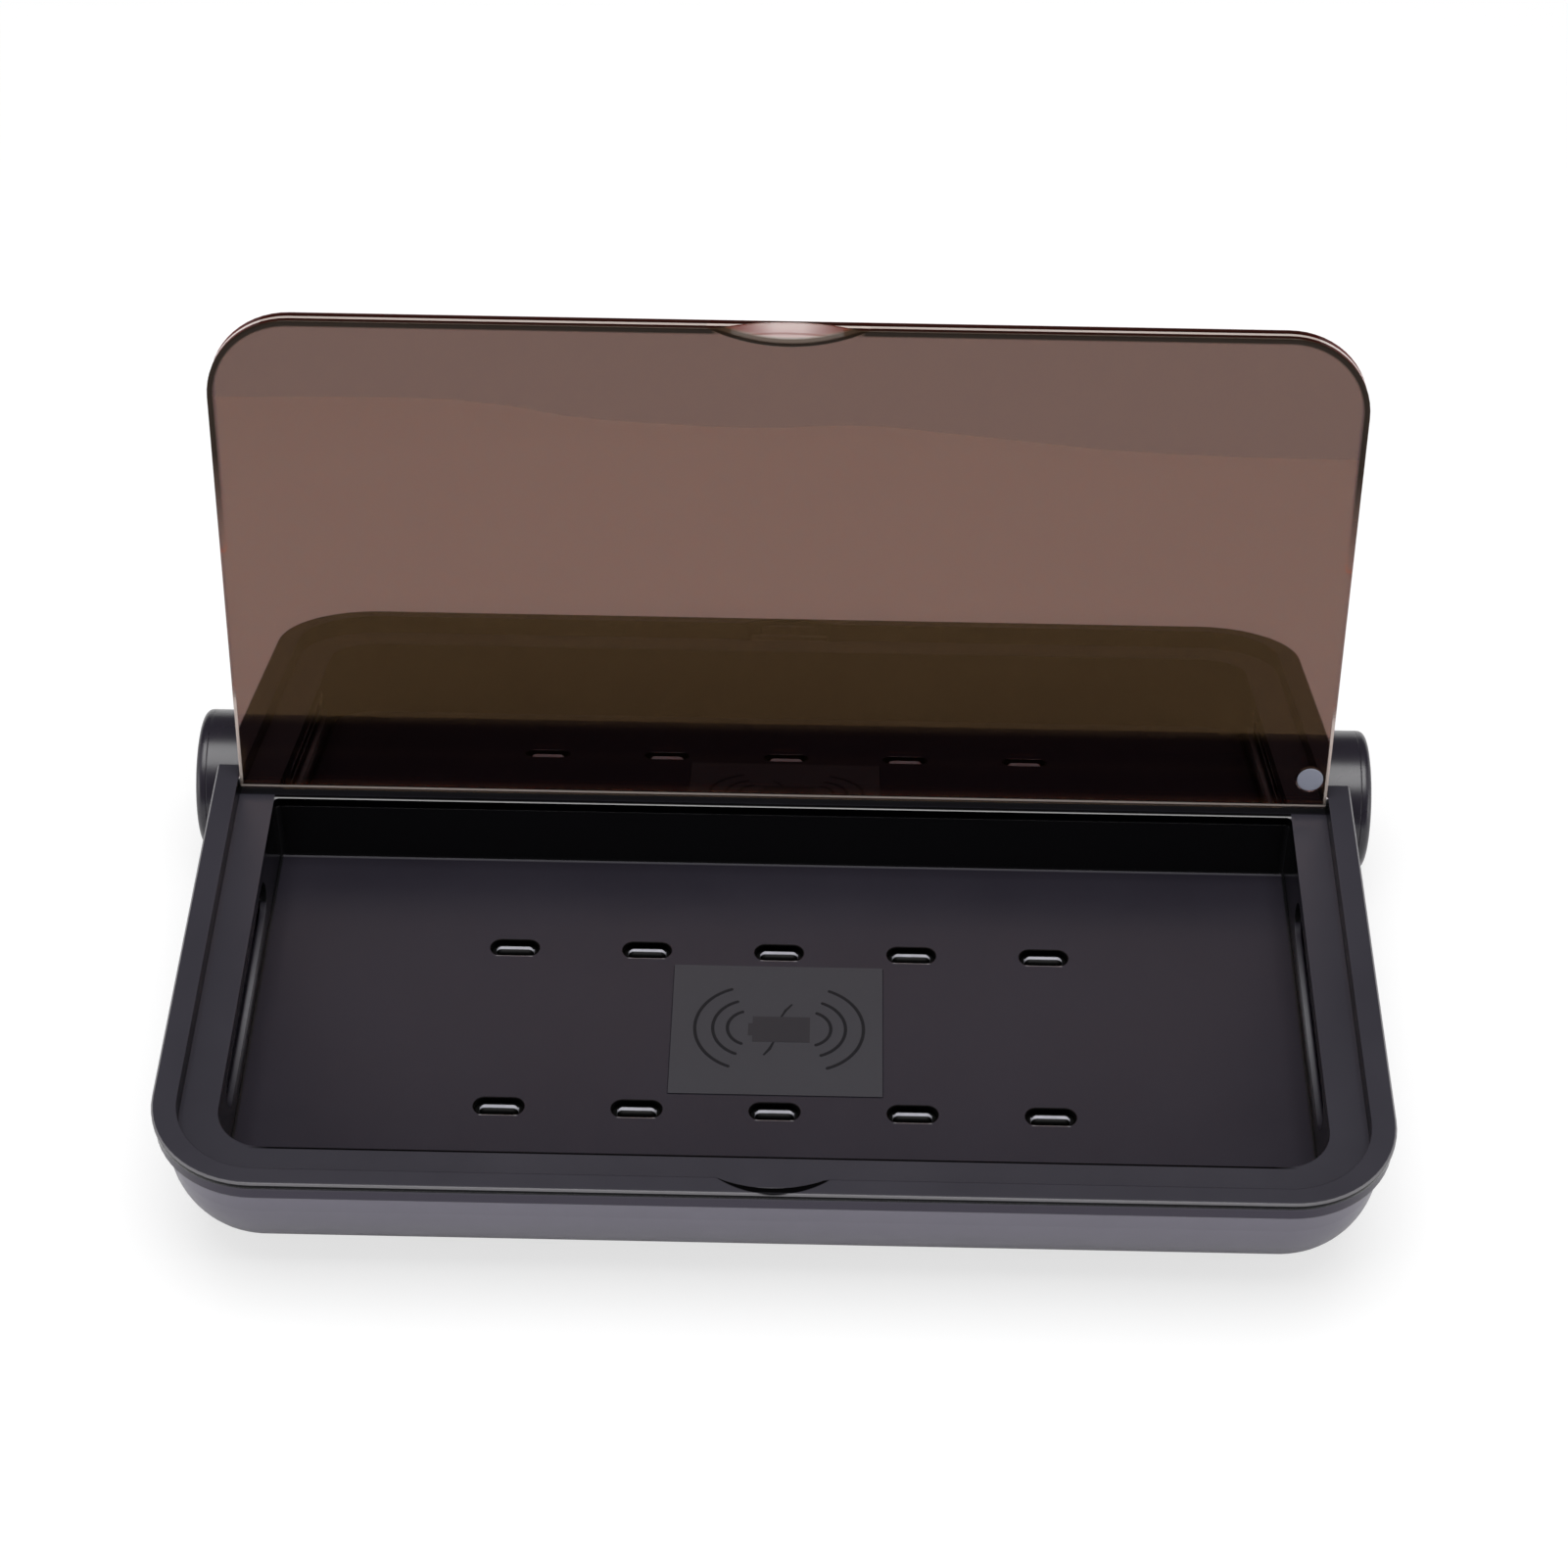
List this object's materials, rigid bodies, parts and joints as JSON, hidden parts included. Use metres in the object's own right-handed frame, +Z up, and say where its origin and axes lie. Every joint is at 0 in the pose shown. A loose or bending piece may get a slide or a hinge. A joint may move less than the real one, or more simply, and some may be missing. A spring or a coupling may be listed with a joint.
{
  "type": "phone uv sanitizer box",
  "caption": "Shallow dark tray with ultraviolet side lamps, a charging pad, light slots, a hinged tinted lid and a round barrel along its rear edge.",
  "frame": {"origin": "middle of the footprint, on the table under the feet, with the lid open as drawn", "axes": "+X to the right along the barrel, +Y to the rear, +Z up; the front edge with the finger notch faces -Y"},
  "size_m": [0.2252, 0.1272, 0.1232],
  "materials": {
    "shell_plastic": "satin",
    "frame_plastic": "satin",
    "tray_plastic": "matte",
    "pad_plastic": "matte",
    "clear_plastic": "gloss",
    "lid_acrylic": "gloss",
    "quartz": "gloss",
    "steel": "satin",
    "magnet_metal": "satin",
    "reflector_metal": "gloss",
    "rubber": "matte",
    "board": "satin",
    "chip": "matte",
    "led": "gloss",
    "copper": "satin",
    "ceramic": "matte"
  },
  "bodies": {
    "base": {"lower_shell": "shell_plastic", "top_frame": "frame_plastic", "tray": "tray_plastic", "charge_pad": "pad_plastic", "light_bars": "clear_plastic", "led_strips": "board", "led_chips": "led", "charge_coil": "copper", "ferrite_sheet": "chip", "charger_board": "board", "uv_lamp_left": "quartz", "uv_lamp_right": "quartz", "lamp_caps_left": "steel", "lamp_caps_right": "steel", "lamp_holders_left": "ceramic", "lamp_holders_right": "ceramic", "reflector_left": "reflector_metal", "reflector_right": "reflector_metal", "sensor_board": "board", "hall_sensor": "chip", "barrel_tube": "shell_plastic", "barrel_cap_left": "shell_plastic", "barrel_cap_right": "shell_plastic", "tact_switch": "chip", "main_board": "board", "lamp_driver": "chip", "board_parts": "chip", "usb_shell": "steel", "usb_tongue": "chip", "base_screws": "steel", "barrel_screws": "steel", "foot_front_left": "rubber", "foot_front_right": "rubber", "foot_rear_left": "rubber", "foot_rear_right": "rubber"},
    "lid": {"lid_panel": "lid_acrylic", "lid_magnet": "magnet_metal", "hinge_pin_left": "steel", "hinge_pin_right": "steel"},
    "power_button": {"power_button": "pad_plastic"}
  },
  "joints": [
    {"name": "lid_hinge", "type": "hinge", "parent": "base", "child": "lid", "pos_m": [0, 0.03678, 0.0282], "axis": [1, 0, 0], "range_deg": [0, 101.1]},
    {"name": "power_button_press", "type": "slide", "parent": "base", "child": "power_button", "axis": [-1, 0, 0], "range_m": [0, 0.0006], "stiffness_N_per_m": 800}
  ]
}
